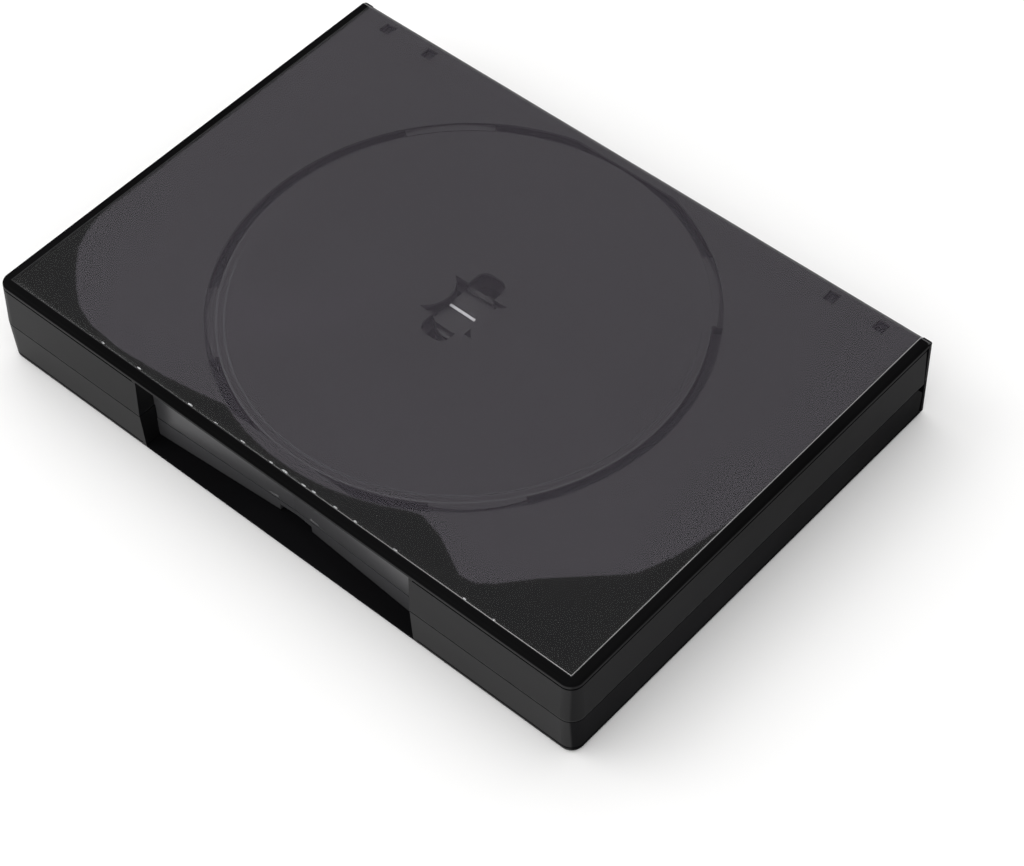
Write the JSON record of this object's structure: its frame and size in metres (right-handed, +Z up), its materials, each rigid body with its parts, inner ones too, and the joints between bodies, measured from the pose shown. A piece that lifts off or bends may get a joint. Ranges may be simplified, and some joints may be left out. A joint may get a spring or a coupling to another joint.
{
  "type": "multi-disc dvd case",
  "caption": "Closed black disc case with a thumb notch in its opening edge, a clear outer sleeve, a folding spine, swing-out two-sided trays and press-to-release hubs.",
  "frame": {"origin": "middle of the closed case on the surface that it lies on", "axes": "+X along the spine, +Y from the opening edge towards the spine, +Z up through the closed case's thickness"},
  "size_m": [0.19, 0.135, 0.027],
  "materials": {
    "case_plastic": "moulded black polypropylene, fine satin grain on the walls",
    "tray_plastic": "moulded black polypropylene, smooth",
    "clear_film": "clear glossy polypropylene film, slightly wavy"
  },
  "bodies": {
    "base": {"bottom_cover": "case_plastic", "sleeve_bottom": "clear_film"},
    "spine": {"spine_panel": "case_plastic", "sleeve_spine": "clear_film"},
    "lid": {"top_cover": "case_plastic", "sleeve_top": "clear_film"},
    "swing_tray_1": {"tray_1": "tray_plastic"},
    "swing_tray_2": {"tray_2": "tray_plastic"},
    "swing_tray_3": {"tray_3": "tray_plastic"},
    "base_button": {"bottom_cover_button": "case_plastic"},
    "lid_button": {"top_cover_button": "case_plastic"},
    "lower_button_1": {"tray_1_button_lower": "tray_plastic"},
    "upper_button_1": {"tray_1_button_upper": "tray_plastic"},
    "lower_button_2": {"tray_2_button_lower": "tray_plastic"},
    "upper_button_2": {"tray_2_button_upper": "tray_plastic"},
    "lower_button_3": {"tray_3_button_lower": "tray_plastic"},
    "upper_button_3": {"tray_3_button_upper": "tray_plastic"}
  },
  "joints": [
    {"name": "spine_fold", "type": "hinge", "parent": "base", "child": "spine", "pos_m": [0, 0.067, 0.0005], "axis": [-1, 0, 0], "range_deg": [0, 90]},
    {"name": "cover_fold", "type": "hinge", "parent": "spine", "child": "lid", "pos_m": [0, 0.067, 0.0265], "axis": [-1, 0, 0], "range_deg": [0, 90]},
    {"name": "tray_1_swing", "type": "hinge", "parent": "lid", "child": "swing_tray_1", "pos_m": [0, 0.0626, 0.0071], "axis": [-1, 0, 0], "range_deg": [-170, 0]},
    {"name": "tray_2_swing", "type": "hinge", "parent": "lid", "child": "swing_tray_2", "pos_m": [0, 0.0626, 0.0135], "axis": [-1, 0, 0], "range_deg": [-45, 0]},
    {"name": "tray_3_swing", "type": "hinge", "parent": "lid", "child": "swing_tray_3", "pos_m": [0, 0.0626, 0.0199], "axis": [-1, 0, 0], "range_deg": [-45, 0]},
    {"name": "base_press", "type": "slide", "parent": "base", "child": "base_button", "axis": [0, 0, -1], "range_m": [0, 0.0008], "stiffness_N_per_m": 2000},
    {"name": "lid_press", "type": "slide", "parent": "lid", "child": "lid_button", "axis": [0, 0, 1], "range_m": [0, 0.0008], "stiffness_N_per_m": 2000},
    {"name": "tray_1_lower_press", "type": "slide", "parent": "swing_tray_1", "child": "lower_button_1", "axis": [0, 0, 1], "range_m": [0, 0.0008], "stiffness_N_per_m": 2000},
    {"name": "tray_1_upper_press", "type": "slide", "parent": "swing_tray_1", "child": "upper_button_1", "axis": [0, 0, -1], "range_m": [0, 0.0008], "stiffness_N_per_m": 2000},
    {"name": "tray_2_lower_press", "type": "slide", "parent": "swing_tray_2", "child": "lower_button_2", "axis": [0, 0, 1], "range_m": [0, 0.0008], "stiffness_N_per_m": 2000},
    {"name": "tray_2_upper_press", "type": "slide", "parent": "swing_tray_2", "child": "upper_button_2", "axis": [0, 0, -1], "range_m": [0, 0.0008], "stiffness_N_per_m": 2000},
    {"name": "tray_3_lower_press", "type": "slide", "parent": "swing_tray_3", "child": "lower_button_3", "axis": [0, 0, 1], "range_m": [0, 0.0008], "stiffness_N_per_m": 2000},
    {"name": "tray_3_upper_press", "type": "slide", "parent": "swing_tray_3", "child": "upper_button_3", "axis": [0, 0, -1], "range_m": [0, 0.0008], "stiffness_N_per_m": 2000}
  ],
  "couplings": [
    {"joint": "spine_fold", "follows": "cover_fold", "ratio": 1},
    {"joint": "tray_1_swing", "follows": "cover_fold", "ratio": -0.8},
    {"joint": "tray_2_swing", "follows": "cover_fold", "ratio": -0.48},
    {"joint": "tray_3_swing", "follows": "cover_fold", "ratio": -0.24}
  ]
}
